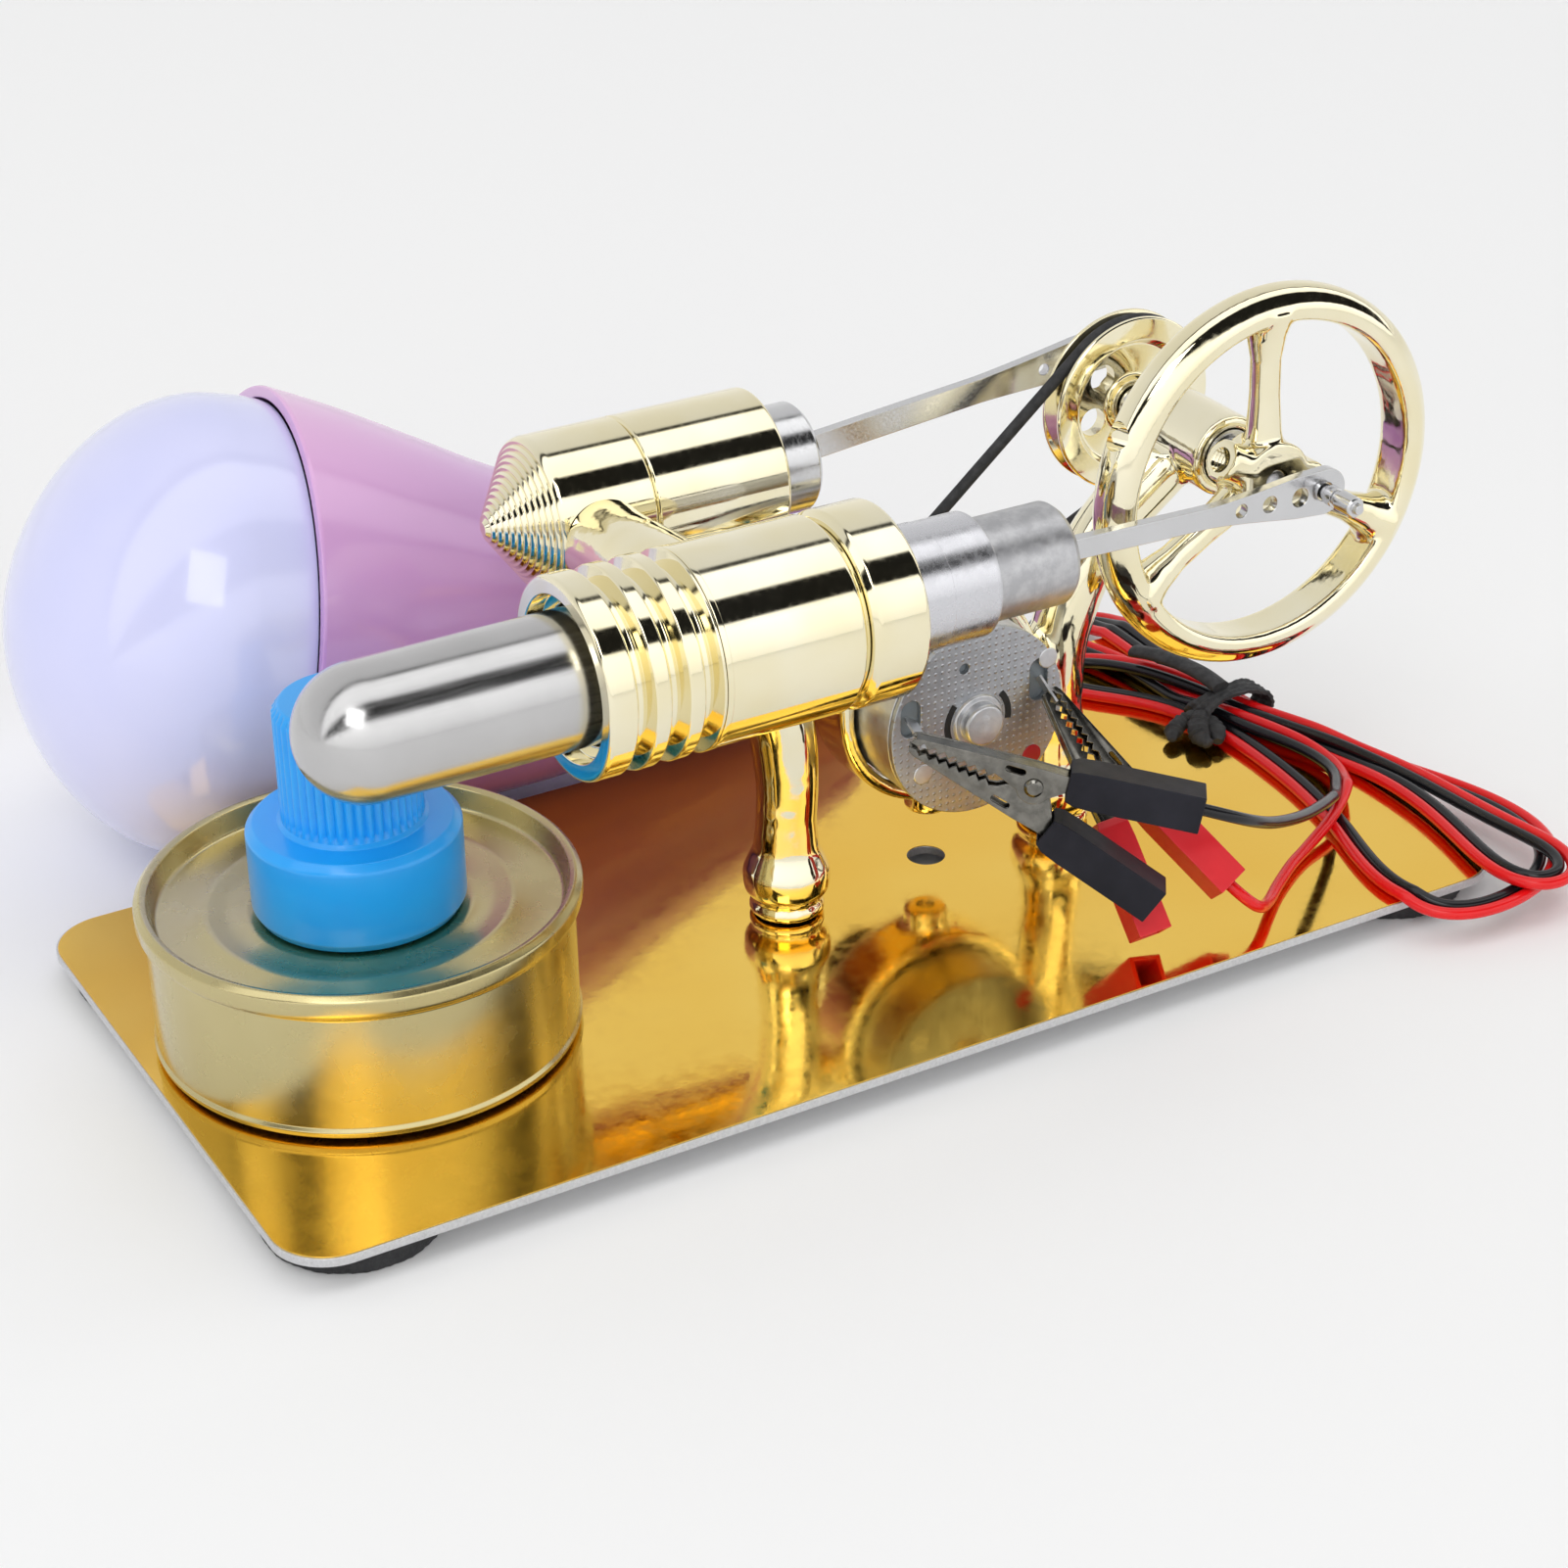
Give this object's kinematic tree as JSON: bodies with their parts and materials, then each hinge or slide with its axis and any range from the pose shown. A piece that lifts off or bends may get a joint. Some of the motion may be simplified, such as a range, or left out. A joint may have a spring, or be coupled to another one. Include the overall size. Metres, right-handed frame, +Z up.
{
  "type": "stirling engine model",
  "caption": "Gold plated twin cylinder hot air engine on a plate, with flywheel, belt driven generator, spirit burner and a lamp on clip leads.",
  "frame": {"origin": "on the table under the middle of the whole object, leads and clips left out", "axes": "+X along the plate from the burner to the flywheel, +Y from the plate's front edge to the bulb behind it, +Z up"},
  "size_m": [0.233, 0.1762, 0.1022],
  "materials": {
    "gold_plating": "bright pale gold plating on cast and turned metal",
    "gold_film": "deep gold mirror film on sheet aluminium, bare metal at the edge",
    "steel": "turned and brushed bare steel",
    "clip_steel": "nickel plated pressed steel",
    "aluminium": "fine turned bare aluminium",
    "zinc_plate": "satin zinc plated sheet steel",
    "tin_lacquer": "pale gold lacquered tinplate",
    "brass": "turned brass",
    "graphite": "dark graphite",
    "rubber": "matt black rubber",
    "black_insulation": "black vinyl",
    "red_insulation": "red vinyl",
    "blue_plastic": "bright blue moulded plastic",
    "pink_plastic": "translucent pink moulded plastic",
    "diffuser_plastic": "milky translucent plastic",
    "wick_cotton": "white cotton cord"
  },
  "bodies": {
    "root": {"base_plate": "gold_film", "foot_near_left": "rubber", "foot_near_right": "rubber", "foot_far_left": "rubber", "foot_far_right": "rubber", "engine_frame": "gold_plating", "leg_screw_left": "steel", "leg_screw_right": "steel", "clamp_screw": "steel", "hot_cap": "steel", "heat_sink": "gold_plating", "displacer_cylinder": "gold_plating", "displacer_end_cover": "gold_plating", "displacer_guide": "aluminium", "cylinder_nose": "gold_plating", "power_cylinder": "gold_plating", "power_liner": "aluminium", "bearing_front": "steel", "bearing_rear": "steel", "drive_belt": "rubber", "generator_can": "zinc_plate", "generator_end_plate": "zinc_plate", "terminal_left": "zinc_plate", "terminal_right": "zinc_plate", "burner_tin": "tin_lacquer", "burner_collar": "brass", "burner_wick": "wick_cotton", "bulb_diffuser": "diffuser_plastic", "bulb_body": "pink_plastic", "bulb_led_board": "aluminium", "bulb_gland": "rubber", "cable_run": "red_insulation", "cable_hank": "red_insulation", "lead_red": "red_insulation", "lead_black": "black_insulation", "clip_black_jaw_lower": "clip_steel", "clip_black_sleeve_lower": "black_insulation", "clip_red_jaw_lower": "clip_steel", "clip_red_sleeve_lower": "red_insulation"},
    "crank": {"crankshaft": "steel", "flywheel": "gold_plating", "flywheel_screw": "steel", "pulley_wheel": "gold_plating"},
    "generator_rotor": {"generator_armature": "steel", "generator_pulley": "brass"},
    "displacer_train": {"displacer": "aluminium", "displacer_rod": "steel", "crosshead": "brass", "displacer_wrist_pin": "steel"},
    "displacer_link": {"displacer_conrod": "steel", "displacer_crank_pin": "steel"},
    "power_train": {"power_piston": "graphite", "power_wrist_pin": "steel"},
    "power_link": {"power_conrod": "steel", "power_crank_pin": "steel"},
    "cap": {"burner_cap": "blue_plastic"},
    "clip_black_upper": {"clip_black_jaw_upper": "clip_steel", "clip_black_sleeve_upper": "black_insulation"},
    "clip_red_upper": {"clip_red_jaw_upper": "clip_steel", "clip_red_sleeve_upper": "red_insulation"}
  },
  "joints": [
    {"name": "crank_spin", "type": "hinge", "parent": "root", "child": "crank", "pos_m": [0.07715, -0.0307, 0.0703], "axis": [0, 1, 0], "continuous": true},
    {"name": "generator_spin", "type": "hinge", "parent": "root", "child": "generator_rotor", "pos_m": [0.0262, -0.0307, 0.0379], "axis": [0, 1, 0], "continuous": true},
    {"name": "displacer_slide", "type": "slide", "parent": "root", "child": "displacer_train", "axis": [1, 0, 0], "range_m": [-0.0135, 0.00017]},
    {"name": "displacer_rod_swing", "type": "hinge", "parent": "displacer_train", "child": "displacer_link", "pos_m": [0.0248, -0.0572, 0.0703], "axis": [0, 1, 0], "range_deg": [-8.1, 5.1]},
    {"name": "power_slide", "type": "slide", "parent": "root", "child": "power_train", "axis": [1, 0, 0], "range_m": [-0.0087, 0.005]},
    {"name": "power_rod_swing", "type": "hinge", "parent": "power_train", "child": "power_link", "pos_m": [0.0098, -0.0042, 0.0703], "axis": [0, 1, 0], "range_deg": [-0.2, 11.2]},
    {"name": "burner_cap_lift", "type": "slide", "parent": "root", "child": "cap", "axis": [0, 0, 1], "range_m": [0, 0.03]},
    {"name": "clip_black_open", "type": "hinge", "parent": "root", "child": "clip_black_upper", "pos_m": [0.02409, -0.06531, 0.03597], "axis": [0.5813, 0.8097, -0.0805], "range_deg": [0, 12], "stiffness_Nm_per_rad": 0.05, "springref_deg": -5.73},
    {"name": "clip_red_open", "type": "hinge", "parent": "root", "child": "clip_red_upper", "pos_m": [0.04387, -0.06008, 0.02804], "axis": [0.182, 0.7413, -0.646], "range_deg": [0, 12], "stiffness_Nm_per_rad": 0.05, "springref_deg": -5.73}
  ],
  "couplings": [
    {"joint": "generator_spin", "follows": "crank_spin", "ratio": 2.1774}
  ]
}
